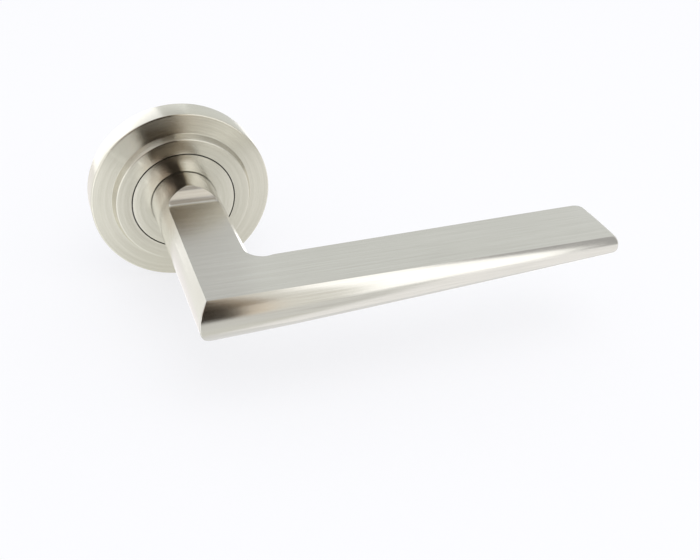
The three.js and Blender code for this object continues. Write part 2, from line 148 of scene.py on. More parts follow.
def turned_mesh(bm, profile, segments=SEGMENTS, centre=(0.0, 0.0)):
    """Adds a closed turned body, its axis parallel to Y. Points on the axis are poles."""
    rings = []
    for radius, depth in profile:
        if radius < TINY:
            rings.append([bm.verts.new((centre[0] * MM, -depth * MM, centre[1] * MM))])
            continue
        ring = []
        for i in range(segments):
            angle = 2 * math.pi * i / segments
            x = centre[0] + radius * math.cos(angle)
            z = centre[1] + radius * math.sin(angle)
            ring.append(bm.verts.new((x * MM, -depth * MM, z * MM)))
        rings.append(ring)
    closed = profile[0][0] > TINY
    following = rings[1:] + rings[:1] if closed else rings[1:]
    for first, second in zip(rings, following):
        for i in range(segments):
            j = (i + 1) % segments
            corners = [first[i % len(first)], first[j % len(first)]]
            corners += [second[j % len(second)], second[i % len(second)]]
            unique = list(dict.fromkeys(corners))
            if len(unique) > 2:
                bm.faces.new(unique)


def finish_mesh(bm, name, smooth_below=SMOOTH_BELOW):
    """Turns a bmesh into a shown object with outward faces, smooth but for its real edges."""
    bmesh.ops.remove_doubles(bm, verts=bm.verts, dist=SAME_PLACE)
    bmesh.ops.recalc_face_normals(bm, faces=bm.faces)
    mesh = bpy.data.meshes.new(name)
    bm.to_mesh(mesh)
    bm.free()
    mesh.shade_smooth()
    mesh.set_sharp_from_angle(angle=math.radians(smooth_below))
    piece = bpy.data.objects.new(name, mesh)
    scene.collection.objects.link(piece)
    return piece


def turned_piece(name, profile, edge=0.12, segments=SEGMENTS, centre=(0.0, 0.0)):
    """A turned piece with every corner eased by the same small radius."""
    radii = [0 if radius < TINY else edge for radius, _ in profile]
    bm = bmesh.new()
    turned_mesh(bm, [tuple(point) for point in eased(profile, radii)], segments, centre)
    return finish_mesh(bm, name)


print("turned pieces have", SEGMENTS, "faces round, one every", round(360 / SEGMENTS, 2), "degrees")

# %% [markdown]
# ## Extruding, joining and cutting
#
# The pieces that aren't turned are stamped or sawn from plate and bar, so they are an
# outline pushed along the spindle axis, with their long edges broken. Holes are drilled
# and lugs are joined the way a workshop would do it: make the tool as its own solid,
# then take it away from the piece or add it. The tool is thrown away afterwards.

# %% Extruding, joining and cutting
def extruded(name, outline, front, back, edge=0.0):
    """An (x, z) outline in millimetres, pushed from one depth to another."""
    bm = bmesh.new()
    rims = []
    for depth in (front, back):
        rims.append([bm.verts.new((x * MM, -depth * MM, z * MM)) for x, z in outline])
        bm.faces.new(rims[-1])
    for i in range(len(outline)):
        j = (i + 1) % len(outline)
        bm.faces.new([rims[0][i], rims[0][j], rims[1][j], rims[1][i]])
    bmesh.ops.recalc_face_normals(bm, faces=bm.faces)
    if edge:
        limit = math.radians(SMOOTH_BELOW)
        sharp = [line for line in bm.edges if line.calc_face_angle(0) > limit]
        bmesh.ops.bevel(bm, geom=sharp, offset=edge * MM, segments=3, profile=0.5, affect="EDGES")
    return finish_mesh(bm, name)


def combine(piece, tool, operation="DIFFERENCE"):
    """Cuts a tool out of a piece, or joins it on with UNION, and throws the tool away."""
    modifier = piece.modifiers.new("tool", "BOOLEAN")
    modifier.operation = operation
    modifier.solver = "EXACT"
    modifier.object = tool
    bpy.context.view_layer.update()
    shown = piece.evaluated_get(bpy.context.evaluated_depsgraph_get())
    mesh = bpy.data.meshes.new_from_object(shown)
    piece.modifiers.clear()
    piece.data = mesh
    bpy.data.objects.remove(tool)
    mesh.shade_smooth()
    mesh.set_sharp_from_angle(angle=math.radians(SMOOTH_BELOW))


def box_outline(width, height, centre=(0.0, 0.0)):
    corners = [(-1, -1), (1, -1), (1, 1), (-1, 1)]
    return [(centre[0] + a * width / 2, centre[1] + b * height / 2) for a, b in corners]


def around(radius, degrees):
    """A point at an angle round the spindle axis, measured up from the lever's side."""
    angle = math.radians(degrees)
    return (radius * math.cos(angle), radius * math.sin(angle))


print("tools ready: extruded, combine")

# %% [markdown]
# ## Putting a piece on its body
#
# Each finished piece stands for one part of the design, rides on the same body as that
# part and takes its material slot. One helper does all three, so nothing is forgotten,
# and it prints the face count beside the part's real size, which is a quick way to see
# that the right piece was made for the right part.

# %% Standing a piece in for a part
BODY_OF = {
    node: body
    for body, nodes in frame["record"]["behaviour"]["bodies"].items()
    for node in nodes
}


def stand_in(piece, node, material):
    piece.data.materials.clear()
    piece.data.materials.append(material)
    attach(piece, BODY_OF[node])
    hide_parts(node)
    low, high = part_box(node)
    size = [round(value * 1000, 1) for value in high - low]
    print(f"{piece.name}: {len(piece.data.polygons)} faces for {node}, {size} mm")


print("parts to stand in for:", len(BODY_OF), "on bodies:", sorted(set(BODY_OF.values())))

# %% [markdown]
# ## Shared effects
#
# Every metal here was brushed, turned or plated, and each finish is a variation of the
# same few effects. They are node groups: built once, with named inputs, and placed in
# each material with its own values, so a change to the grain changes it everywhere. The
# helpers here make an empty group with its sockets, a math node that takes either
# sockets or plain numbers, and the noise textures that most groups end in.

# %% Node group helpers
def new_group(name, inputs, outputs):
    group = bpy.data.node_groups.new(name, "ShaderNodeTree")
    for label, kind, default in inputs:
        socket = group.interface.new_socket(name=label, in_out="INPUT", socket_type=kind)
        socket.default_value = default
    for label, kind in outputs:
        group.interface.new_socket(name=label, in_out="OUTPUT", socket_type=kind)
    start = group.nodes.new("NodeGroupInput")
    end = group.nodes.new("NodeGroupOutput")
    return group, start, end


def math_node(tree, operation, first, second):
    """A math node whose two inputs are sockets or plain numbers."""
    node = tree.nodes.new("ShaderNodeMath")
    node.operation = operation
    for socket, value in zip(node.inputs, (first, second)):
        if isinstance(value, (int, float)):
            socket.default_value = value
        else:
            tree.links.new(value, socket)
    return node.outputs[0]


def object_place(tree):
    """The place of a point on its own piece."""
    return tree.nodes.new("ShaderNodeTexCoord").outputs["Object"]


def noise_outputs(group, end, vector, settings):
    """One noise texture for each output of a group, as (output, scale, detail)."""
    for label, scale, detail in settings:
        noise = group.nodes.new("ShaderNodeTexNoise")
        noise.inputs["Scale"].default_value = scale
        noise.inputs["Detail"].default_value = detail
        group.links.new(vector, noise.inputs["Vector"])
        group.links.new(noise.outputs["Fac"], end.inputs[label])


BRUSH_INPUTS = [
    ("Lines per metre", "NodeSocketFloat", 9000.0),
    ("Stretch", "NodeSocketFloat", 12.0),
]
BRUSH_OUTPUTS = [("Height", "NodeSocketFloat"), ("Tone", "NodeSocketFloat")]
print("node helpers ready: new_group, math_node, object_place, noise_outputs")

# %% [markdown]
# ## Straight brush lines
#
# The flat of the lever is linished: drawn along an abrasive belt, which leaves fine
# parallel scratches. Noise stretched very long in one direction looks just like them. The
# group puts out a height for the bump and a slower tone, because a belt leaves some bands
# a touch brighter than others. Drawing real grooves would need millions of faces.

# %% Straight brush lines
def straight_brushing():
    """Height and tone of brush lines along X, from noise stretched along the stroke."""
    group, start, end = new_group("straight_brushing", BRUSH_INPUTS, BRUSH_OUTPUTS)
    parts = group.nodes.new("ShaderNodeSeparateXYZ")
    group.links.new(object_place(group), parts.inputs[0])
    across = start.outputs["Lines per metre"]
    along = math_node(group, "DIVIDE", across, start.outputs["Stretch"])
    stroke = group.nodes.new("ShaderNodeCombineXYZ")
    for axis, scale in (("X", along), ("Y", across), ("Z", across)):
        scaled = math_node(group, "MULTIPLY", parts.outputs[axis], scale)
        group.links.new(scaled, stroke.inputs[axis])
    settings = (("Height", 1.0, 3.0), ("Tone", 0.3, 2.0))
    noise_outputs(group, end, stroke.outputs[0], settings)
    return group


STRAIGHT = straight_brushing()
print("straight_brushing:", len(STRAIGHT.nodes), "nodes")

# %% [markdown]
# ## Round brush lines
#
# The rose and the collar are finished while they spin, so their scratches are circles
# round the spindle axis. The noise is read by distance from the axis, and only slightly
# by angle, so each ring changes a little on its way round. That small change matters:
# perfect rings look drawn with a compass.

# %% Round brush lines
def round_brushing():
    """Height and tone of rings round the Y axis, as turning and polishing leave them."""
    group, start, end = new_group("round_brushing", BRUSH_INPUTS, BRUSH_OUTPUTS)
    parts = group.nodes.new("ShaderNodeSeparateXYZ")
    group.links.new(object_place(group), parts.inputs[0])
    x, z = parts.outputs["X"], parts.outputs["Z"]
    squares = [math_node(group, "MULTIPLY", side, side) for side in (x, z)]
    radius = math_node(group, "SQRT", math_node(group, "ADD", *squares), 0.0)
    across = start.outputs["Lines per metre"]
    ring = group.nodes.new("ShaderNodeCombineXYZ")
    for axis, source in (("X", radius), ("Y", parts.outputs["Y"])):
        group.links.new(math_node(group, "MULTIPLY", source, across), ring.inputs[axis])
    turn = group.nodes.new("ShaderNodeVectorMath")
    turn.operation = "NORMALIZE"
    flat = group.nodes.new("ShaderNodeCombineXYZ")
    group.links.new(x, flat.inputs["X"])
    group.links.new(z, flat.inputs["Z"])
    group.links.new(flat.outputs[0], turn.inputs[0])
    swing = group.nodes.new("ShaderNodeVectorMath")
    swing.operation = "SCALE"
    group.links.new(turn.outputs[0], swing.inputs[0])
    group.links.new(start.outputs["Stretch"], swing.inputs["Scale"])
    total = group.nodes.new("ShaderNodeVectorMath")
    total.operation = "ADD"
    group.links.new(ring.outputs[0], total.inputs[0])
    group.links.new(swing.outputs[0], total.inputs[1])
    settings = (("Height", 1.0, 3.0), ("Tone", 0.25, 2.0))
    noise_outputs(group, end, total.outputs[0], settings)
    return group


ROUND = round_brushing()
print("round_brushing:", len(ROUND.nodes), "nodes")

# %% [markdown]
# ## Cloudy variation and worn edges
#
# Plating is never perfectly even, and the edges that hands and cloths touch most polish
# up first. The first group here is a slow, cloudy drift between two values. The second
# finds the outward edges of a piece from the bend of its surface and breaks them up with
# noise, so the polish comes and goes along an edge as it does on a used handle.

# %% Cloudy variation and worn edges
def cloudy_variation():
    """A slow change over the surface, between a low and a high value."""
    inputs = [
        ("Patches per metre", "NodeSocketFloat", 60.0),
        ("Low", "NodeSocketFloat", 0.0),
        ("High", "NodeSocketFloat", 1.0),
    ]
    group, start, end = new_group("cloudy_variation", inputs, [("Value", "NodeSocketFloat")])
    noise = group.nodes.new("ShaderNodeTexNoise")
    noise.inputs["Detail"].default_value = 2.0
    group.links.new(object_place(group), noise.inputs["Vector"])
    group.links.new(start.outputs["Patches per metre"], noise.inputs["Scale"])
    spread = group.nodes.new("ShaderNodeMapRange")
    spread.inputs["From Min"].default_value = 0.3
    spread.inputs["From Max"].default_value = 0.7
    group.links.new(noise.outputs["Fac"], spread.inputs["Value"])
    group.links.new(start.outputs["Low"], spread.inputs["To Min"])
    group.links.new(start.outputs["High"], spread.inputs["To Max"])
    group.links.new(spread.outputs["Result"], end.inputs["Value"])
    return group


def worn_edges():
    """A mask that is 1 on outward edges, broken up by noise, and 0 elsewhere."""
    inputs = [("Threshold", "NodeSocketFloat", 0.52), ("Softness", "NodeSocketFloat", 0.06)]
    group, start, end = new_group("worn_edges", inputs, [("Mask", "NodeSocketFloat")])
    shape = group.nodes.new("ShaderNodeNewGeometry")
    noise = group.nodes.new("ShaderNodeTexNoise")
    noise.inputs["Scale"].default_value = 450.0
    group.links.new(object_place(group), noise.inputs["Vector"])
    spread = group.nodes.new("ShaderNodeMapRange")
    top = math_node(group, "ADD", start.outputs["Threshold"], start.outputs["Softness"])
    group.links.new(shape.outputs["Pointiness"], spread.inputs["Value"])
    group.links.new(start.outputs["Threshold"], spread.inputs["From Min"])
    group.links.new(top, spread.inputs["From Max"])
    patchy = math_node(group, "ADD", noise.outputs["Fac"], 0.3)
    mask = math_node(group, "MULTIPLY", spread.outputs["Result"], patchy)
    group.links.new(mask, end.inputs["Mask"])
    return group


CLOUDS = cloudy_variation()
WEAR = worn_edges()
print("shared effects:", [group.name for group in (STRAIGHT, ROUND, CLOUDS, WEAR)])

# %% [markdown]
# ## Metals
#
# One builder makes every metal: a base colour that drifts a little between two tones
# along the brush lines, a roughness that follows the same lines, and a bump from their
# height. Brushed metal also reflects more sharply along the grain than across it. That
# is the Principled shader's anisotropy, aimed by a tangent: round the spindle axis for
# turned faces, straight along the grain for the lever's flat.

# %% Metal builder
TONE_DRIFT = 0.1  # how far the clouds shift the tone
EDGE_LIFT = 0.3  # how much brighter a worn edge is
ROUGH_DRIFT = 0.12  # share by which the roughness wanders
EDGE_POLISH = 0.3  # share of the roughness that wear takes off
GRAIN_DEPTH = 0.01  # millimetres
SLOW = (0.25, 0.75)  # the range that a slow noise keeps to


def new_material(name):
    """A material, its node tree and its Principled shader."""
    material = bpy.data.materials.new(name)
    material.use_nodes = True
    return material, material.node_tree, material.node_tree.nodes["Principled BSDF"]


def place_group(tree, group, **values):
    node = tree.nodes.new("ShaderNodeGroup")
    node.node_tree = group
    for label, value in values.items():
        node.inputs[label.replace("_", " ")].default_value = value
    return node


def spread_value(tree, source, low, high):
    """A slow value stretched to run from low to high."""
    node = tree.nodes.new("ShaderNodeMapRange")
    for label, value in zip(("From Min", "From Max", "To Min", "To Max"), (*SLOW, low, high)):
        node.inputs[label].default_value = value
    tree.links.new(source, node.inputs["Value"])
    return node.outputs["Result"]


def paint(tree, shader, source, colours, places):
    """Base Color from a ramp between two tones."""
    ramp = tree.nodes.new("ShaderNodeValToRGB")
    for element, place, colour in zip(ramp.color_ramp.elements, places, colours):
        element.position = place
        element.color = (*colour, 1)
    tree.links.new(source, ramp.inputs["Fac"])
    tree.links.new(ramp.outputs["Color"], shader.inputs["Base Color"])


def emboss(tree, shader, height, strength, depth):
    """Fine relief from a height, on the shader's normal."""
    relief = tree.nodes.new("ShaderNodeBump")
    relief.inputs["Strength"].default_value = strength
    relief.inputs["Distance"].default_value = depth * MM
    tree.links.new(height, relief.inputs["Height"])
    tree.links.new(relief.outputs["Normal"], shader.inputs["Normal"])


def metal(name, colours, roughness, group, lines, stretch, bump):
    """A worn metal: grain from a brushing group, drifting tones, polished edges."""
    material, tree, shader = new_material(name)
    shader.inputs["Metallic"].default_value = 1.0
    brush = place_group(tree, group, Lines_per_metre=lines, Stretch=stretch)
    cloud = place_group(tree, CLOUDS, Low=-TONE_DRIFT, High=TONE_DRIFT)
    wear = place_group(tree, WEAR)
    tone = math_node(tree, "ADD", brush.outputs["Tone"], cloud.outputs["Value"])
    lift = math_node(tree, "MULTIPLY", wear.outputs["Mask"], EDGE_LIFT)
    paint(tree, shader, math_node(tree, "ADD", tone, lift), colours, SLOW)
    smoother, rougher = roughness * (1 - ROUGH_DRIFT), roughness * (1 + ROUGH_DRIFT)
    rough = spread_value(tree, tone, smoother, rougher)
    polished = math_node(tree, "MULTIPLY", wear.outputs["Mask"], roughness * EDGE_POLISH)
    tree.links.new(math_node(tree, "SUBTRACT", rough, polished), shader.inputs["Roughness"])
    emboss(tree, shader, brush.outputs["Height"], bump, GRAIN_DEPTH)
    return material


def aim_grain(material, axis, amount, turn):
    """Stretches the shine across the grain: the tangent runs round an axis, then turns."""
    tree = material.node_tree
    shader = tree.nodes["Principled BSDF"]
    shader.inputs["Anisotropic"].default_value = amount
    shader.inputs["Anisotropic Rotation"].default_value = turn
    aim = tree.nodes.new("ShaderNodeTangent")
    aim.direction_type = "RADIAL"
    aim.axis = axis
    tree.links.new(aim.outputs["Tangent"], shader.inputs["Tangent"])


print("metal builder ready")

# %% [markdown]
# ## The five finishes
#
# Satin nickel comes twice, because the same plate looks different when it is turned and
# when it is linished: the shine always spreads across the scratches. On turned faces
# that is along the radius, and it makes the bright and dark wedges that seem to spin on
# a brushed disc. On the lever it is across the bar. The working parts are duller: cast
# zinc for the plate, bright zinc plate for the fixings, dark spring steel, and a pale
# nylon bush that was moulded, so it has a faint orange-peel and no grain at all.

# %% The finishes
NICKEL = ((0.615, 0.60, 0.555), (0.68, 0.665, 0.62))
TURNED = ((0.62, 0.60, 0.525), (0.68, 0.66, 0.58))
ZINC_CAST = ((0.34, 0.34, 0.35), (0.50, 0.50, 0.51))
ZINC_PLATED = ((0.50, 0.51, 0.54), (0.67, 0.68, 0.69))
STEEL = ((0.13, 0.13, 0.14), (0.27, 0.27, 0.28))
NYLON = ((0.70, 0.66, 0.56), (0.86, 0.83, 0.76))

turned_nickel = metal("turned_nickel", TURNED, 0.2, ROUND, 9000, 3, 0.22)
brushed_nickel = metal("brushed_nickel", NICKEL, 0.17, STRAIGHT, 9000, 60, 0.18)
aim_grain(turned_nickel, "Y", 0.9, 0.25)
aim_grain(brushed_nickel, "X", 0.75, 0.0)
cast_zinc = metal("die_cast_zinc", ZINC_CAST, 0.55, ROUND, 1500, 40, 0.6)
zinc_plate = metal("bright_zinc_plate", ZINC_PLATED, 0.36, STRAIGHT, 4000, 8, 0.5)
spring_steel = metal("dark_spring_steel", STEEL, 0.40, ROUND, 4000, 30, 0.5)


def moulded_nylon():
    material, tree, shader = new_material("moulded_nylon")
    shader.inputs["IOR"].default_value = 1.53
    cloud = place_group(tree, CLOUDS, Patches_per_metre=180.0, Low=0.25, High=0.75)
    peel = place_group(tree, CLOUDS, Patches_per_metre=2200.0)
    paint(tree, shader, cloud.outputs["Value"], NYLON, (0, 1))
    rough = spread_value(tree, cloud.outputs["Value"], 0.38, 0.5)
    tree.links.new(rough, shader.inputs["Roughness"])
    emboss(tree, shader, peel.outputs["Value"], 0.3, 0.02)
    return material


nylon = moulded_nylon()
print("finishes:", sorted(material.name for material in bpy.data.materials))

# %% [markdown]
# ## Rose cover and neck collar
#
# The cover is spun from sheet: an outer ring, a step and a raised face with a hole for
# the turning collar. The collar lies flush with the face, and the thin dark circle
# between them is a real gap, so it shows from every angle.

# %% Rose cover
ROSE_RADIUS = 26.0
ROSE_DEPTH = 10.0
RING_DEPTH = 7.64
STEP_FOOT = 20.2
STEP_TOP = 19.3
COVER_WALL = 1.2
COVER_HOLE = 15.05
COLLAR_RADIUS = 14.7


def rose_cover():
    ring_back = RING_DEPTH - COVER_WALL
    face_back = ROSE_DEPTH - COVER_WALL
    profile = [
        (ROSE_RADIUS, 0.0),
        (ROSE_RADIUS, RING_DEPTH),
        (STEP_FOOT, RING_DEPTH),
        (STEP_TOP, ROSE_DEPTH),
        (COVER_HOLE, ROSE_DEPTH),
        (COVER_HOLE, face_back),
        (STEP_TOP - COVER_WALL, face_back),
        (STEP_FOOT - COVER_WALL, ring_back),
        (ROSE_RADIUS - COVER_WALL, ring_back),
        (ROSE_RADIUS - COVER_WALL, 0.0),
    ]
    radii = [0.1, 0.45, 0.15, 0.4, 0.05, 0.08, 0.3, 0.3, 0.3, 0.1]
    bm = bmesh.new()
    turned_mesh(bm, [tuple(point) for point in eased(profile, radii, 5)], 256)
    return finish_mesh(bm, "rose_cover_shell")


stand_in(rose_cover(), "rose_cover", turned_nickel)

# %% [markdown]
# ## Neck collar
#
# The collar is a thin disc that turns with the lever inside the rose. It is flush with
# the raised face, so the two read as one surface until the lever moves. A shallow seat
# in its middle takes the end of the neck, with a hair of air round it that shows as a
# second thin dark circle.

# %% Neck collar
SEAT_RADIUS = 9.66
SEAT_DEPTH = 9.3
COLLAR_BORE = 7.7
COLLAR_BACK = 8.5
collar_profile = [
    (COLLAR_BORE, SEAT_DEPTH),
    (COLLAR_BORE, COLLAR_BACK),
    (COLLAR_RADIUS, COLLAR_BACK),
    (COLLAR_RADIUS, ROSE_DEPTH),
    (SEAT_RADIUS, ROSE_DEPTH),
    (SEAT_RADIUS, SEAT_DEPTH),
]
collar = turned_piece("neck_collar_disc", collar_profile, 0.05, 256)
stand_in(collar, "neck_collar", turned_nickel)

# %% [markdown]
# ## The lever's section
#
# The lever is one casting. Its neck is a round bar and its grip is a flat-topped oval
# that thins towards the tip. The oval is a superellipse: a power of 2 gives an ellipse,
# and a little more gives the fuller, blunter shape of the tip. One function gives the
# section anywhere along the grip, and another along the neck.

# %% Sections
NECK_RADIUS = 9.46
FLAT_HEIGHT = 6.4
FLAT_START = 24.4
SCOOP_RADIUS = 5.0
SCOOP_TOP = 17.6
FRONT_CREASE = 70.2
BACK_CREASE = 54.8
BACK_SPREAD = 0.027
LEVER_LENGTH = 105.4
INNER_FILLET = 5.0
MITRE_EDGE = 0.3
TIP_START = 97.0  # where the rounded end begins
TIP_BULGE = 1.2
TIP_SQUARENESS = 0.62  # added to the oval's power by the tip
SIDE_SWELL = 2.6  # how far the sides stand out past the creases
SWELL_LOST = 1.5  # how much of that is gone by the tip
WAIST_CLIMB = 3  # how far the widest line climbs by the tip
BELLY = (8.1, 0.03, 0.00013)  # depth under the axis, and how it thins with x


def smoothstep(value, low, high):
    t = min(max((value - low) / (high - low), 0.0), 1.0)
    return t * t * (3 - 2 * t)


def mix(first, second, share):
    return first + (second - first) * share


def grip_section(x):
    along = max(x, 0.0) / LEVER_LENGTH
    power = 2 + TIP_SQUARENESS * along
    crease = (FRONT_CREASE - BACK_CREASE) / 2 + BACK_SPREAD * x / 2
    reach = crease + SIDE_SWELL - SWELL_LOST * along
    middle = WAIST_CLIMB * along
    share = (1 - (crease / reach) ** power) ** (1 / power)
    return {
        "power": power,
        "crease": crease,
        "reach": reach,
        "middle": middle,
        "centre": -FRONT_CREASE + crease,
        "above": (FLAT_HEIGHT - middle) / share,
        "below": BELLY[0] - BELLY[1] * x - BELLY[2] * x * x,
    }


def neck_section(depth):
    along = smoothstep(depth, FLAT_START, BACK_CREASE)
    corner = grip_section(0)
    above = mix(NECK_RADIUS, corner["above"], along)
    return {
        "power": 2.0,
        "crease": NECK_RADIUS * math.sqrt(1 - (FLAT_HEIGHT / above) ** 2),
        "reach": NECK_RADIUS,
        "middle": 0.0,
        "above": above,
        "below": mix(NECK_RADIUS, corner["below"], along),
    }


for x in (0, 50, LEVER_LENGTH):
    section = grip_section(x)
    width = 2 * section["reach"]
    depth = FLAT_HEIGHT - section["middle"] + section["below"]
    print(f"grip at {x} mm: {width:.1f} mm wide, {depth:.1f} mm thick")

# %% [markdown]
# ## Points round a section
#
# The grid that covers the lever has the same columns at every section. The side columns
# run from one crease down round the underside to the other crease, and the top columns
# cross the flat. Because a column runs exactly along each crease, the crease stays a
# clean line that a bevel can ease.

# %% Points round a section
SIDE_COLUMNS = 72
TOP_COLUMNS = 28
MITRE_ANGLE = 165  # where round the section the outer edge is sharpest
MITRE_FADE = (45, 110)  # how far round from there the corner softens


def side_points(section):
    """Offsets (sideways, up) from the outer crease, under the bar, to the inner crease."""
    power = section["power"]
    rise = (FLAT_HEIGHT - section["middle"]) / section["above"]
    start = math.asin(min(rise ** (power / 2), 1.0))
    points = []
    for i in range(SIDE_COLUMNS + 1):
        angle = math.pi - start + (math.pi + 2 * start) * i / SIDE_COLUMNS
        cosine, sine = math.cos(angle), math.sin(angle)
        side = section["reach"] * math.copysign(abs(cosine) ** (2 / power), cosine)
        tall = section["above"] if sine > 0 else section["below"]
        up = section["middle"] + tall * math.copysign(abs(sine) ** (2 / power), sine)
        points.append((side, up, math.degrees(angle)))
    return points


def corner_radius(angle):
    """Corner radius in plan: a sharp mitre outside, rounded below and inside."""
    turn = abs(angle - MITRE_ANGLE)
    return mix(MITRE_EDGE, INNER_FILLET, smoothstep(turn, *MITRE_FADE))


print("corner radius outside and inside:", corner_radius(180), corner_radius(0), "mm")

# %% [markdown]
# ## The lever's rows
#
# Rows run from the rose to the tip. On the neck a row is a straight section across. At
# the corner each point turns on its own small radius, so the outer edge stays a sharp
# mitre while the inside is a soft fillet. On the grip rows are straight again, about
# 2 mm apart. Each row is a list of points, side columns only. The top comes later.

# %% Rows of the neck, the corner and the grip
def neck_row(depth):
    return [Vector((side, -depth, up)) for side, up, _ in side_points(neck_section(depth))]


def corner_row(turn):
    neck_end = side_points(neck_section(BACK_CREASE))
    grip_start = side_points(grip_section(0))
    centre = grip_section(0)["centre"]
    row = []
    for (side, up, angle), (across, _, _) in zip(neck_end, grip_start):
        radius = corner_radius(angle)
        x = side + radius * (1 - math.cos(turn))
        y = centre + across + radius * (1 - math.sin(turn))
        row.append(Vector((x, y, up)))
    return row


def grip_row(x):
    section = grip_section(x)
    return [Vector((x, section["centre"] + side, up)) for side, up, _ in side_points(section)]


NECK_END = 9.45  # sunk a little into the collar
NECK_ROWS = [NECK_END, 10.5, 12.5, 14.5, SCOOP_TOP - 1]
SCOOP_ROWS = 10
FLAT_ROWS = [26, 28, 31, 34, 37, 40, 43, 46, 49]
CORNER_ROWS = 12
GRIP_START = 14.0
GRIP_STEPS = 42
grip_run = TIP_START - GRIP_START
grip_places = [GRIP_START + grip_run * i / GRIP_STEPS for i in range(GRIP_STEPS + 1)]
print("grip rows every", round(grip_places[1] - grip_places[0], 2), "mm")

# %% [markdown]
# ## The scoop
#
# Where the flat stops short of the rose it doesn't end in a wall. It sweeps up in a
# hollow and rolls over onto the round neck. Seen from the side that is two arcs that
# meet on one slope. The line where the sweep meets the round neck is a curve, and two
# patches share it: one on the round bar above it, one in the scoop below it.

# %% The scoop's sweep
SCOOP_RUN = FLAT_START - SCOOP_TOP
SCOOP_RISE = NECK_RADIUS - FLAT_HEIGHT
SWEEP_ROWS = 16
SLOPE = 2 * math.atan2(SCOOP_RISE, SCOOP_RUN)
TOP_RADIUS = SCOOP_RUN / math.sin(SLOPE) - SCOOP_RADIUS
TURN_HEIGHT = FLAT_HEIGHT + SCOOP_RADIUS * (1 - math.cos(SLOPE))
TURN_DEPTH = FLAT_START - SCOOP_RADIUS * math.sin(SLOPE)


def bar_height(side):
    return math.sqrt(max(NECK_RADIUS ** 2 - side ** 2, 0.0))


def scoop_depth(up):
    """Distance from the door of the scoop's surface at a height."""
    if up < TURN_HEIGHT:
        drop = FLAT_HEIGHT + SCOOP_RADIUS - up
        return FLAT_START - math.sqrt(max(SCOOP_RADIUS ** 2 - drop ** 2, 0.0))
    drop = up - NECK_RADIUS + TOP_RADIUS
    return SCOOP_TOP + math.sqrt(max(TOP_RADIUS ** 2 - drop ** 2, 0.0))


def scoop_height(depth):
    """Height of the scoop's surface at a distance from the door."""
    if depth > TURN_DEPTH:
        away = FLAT_START - depth
        return FLAT_HEIGHT + SCOOP_RADIUS - math.sqrt(SCOOP_RADIUS ** 2 - away ** 2)
    away = depth - SCOOP_TOP
    return NECK_RADIUS - TOP_RADIUS + math.sqrt(max(TOP_RADIUS ** 2 - away ** 2, 0.0))


def top_rows():
    """Covers the round top of the neck and the scoop, between the two creases."""
    half = neck_section(FLAT_START)["crease"]
    sides = [half * (2 * j / TOP_COLUMNS - 1) for j in range(TOP_COLUMNS + 1)]
    grid = [[Vector((s, -depth, bar_height(s))) for s in sides] for depth in NECK_ROWS]
    for k in range(1, SCOOP_ROWS + 1):
        line = []
        for s in sides:
            depth = mix(NECK_ROWS[-1], scoop_depth(bar_height(s)), k / SCOOP_ROWS)
            line.append(Vector((s, -depth, bar_height(s))))
        grid.append(line)
    for k in range(1, SWEEP_ROWS + 1):
        line = []
        for s in sides:
            depth = mix(scoop_depth(bar_height(s)), FLAT_START, k / SWEEP_ROWS)
            line.append(Vector((s, -depth, scoop_height(depth))))
        grid.append(line)
    return grid


print("scoop slope:", round(math.degrees(SLOPE)), "degrees")
print("radius where it rolls over:", round(TOP_RADIUS, 2), "mm")

# %% [markdown]
# ## Building the lever
#
# The mesh is made of four grids that share their borders: the sides with the underside,
# the top, the rounded end, and the ring that closes the neck behind. Points that fall on
# the same place are merged at the end, so the grids become one closed skin. Working in
# grids keeps every edge of the lever where a cutter or a mould would leave it.

# %% Grids into faces
def add_grid(bm, grid):
    rows = [[bm.verts.new(point * MM) for point in line] for line in grid]
    for first, second in zip(rows, rows[1:]):
        for i in range(len(first) - 1):
            bm.faces.new([first[i], first[i + 1], second[i + 1], second[i]])


def flat_line(row):
    """Points across the flat from the outer crease to the inner crease of a row."""
    outer, inner = row[0], row[-1]
    return [outer.lerp(inner, j / TOP_COLUMNS) for j in range(TOP_COLUMNS + 1)]


flat_width = grip_section(0)["crease"] * 2
print("the flat is", round(flat_width, 1), "mm wide")
print("a point across it every", round(flat_width / TOP_COLUMNS, 2), "mm")

# %% [markdown]
# ## The rounded end
#
# The end of the lever is blunt: its back corner is rounded in plan, its front corner is
# nearly sharp, and below the flat the nose swells a little and rolls under. The grid
# follows the same outline at every level, shrunk towards the middle on the flat and
# pushed out on the nose, so the flat and the nose meet on one clean line.

# %% The rounded end
TIP_CORNER_BACK = 2.4
TIP_CORNER_FRONT = 0.6
TIP_CROWN = 0.12  # how far the end stands out in its middle
TIP_STEPS = 8


def tip_outline():
    """Plan of the flat past TIP_START, front crease to back crease, as (x, sideways)."""
    length = LEVER_LENGTH - TIP_START
    front = grip_section(TIP_START)["crease"]
    turns = [math.pi / 2 * i / TIP_STEPS for i in range(TIP_STEPS + 1)]
    path = [(0.0, -front), (length * 0.5, -front)]
    r = TIP_CORNER_FRONT
    for turn in turns:
        path.append((length - r + r * math.sin(turn), -front + r - r * math.cos(turn)))
    for i in range(1, TIP_STEPS):
        crown = TIP_CROWN * math.sin(math.pi * i / TIP_STEPS)
        across = mix(-front + TIP_CORNER_FRONT, front - TIP_CORNER_BACK, i / TIP_STEPS)
        path.append((length + crown, across))
    r = TIP_CORNER_BACK
    for turn in turns:
        path.append((length - r + r * math.cos(turn), front - r + r * math.sin(turn)))
    path.append((length * 0.4, front))
    path.append((0.0, front))
    return path


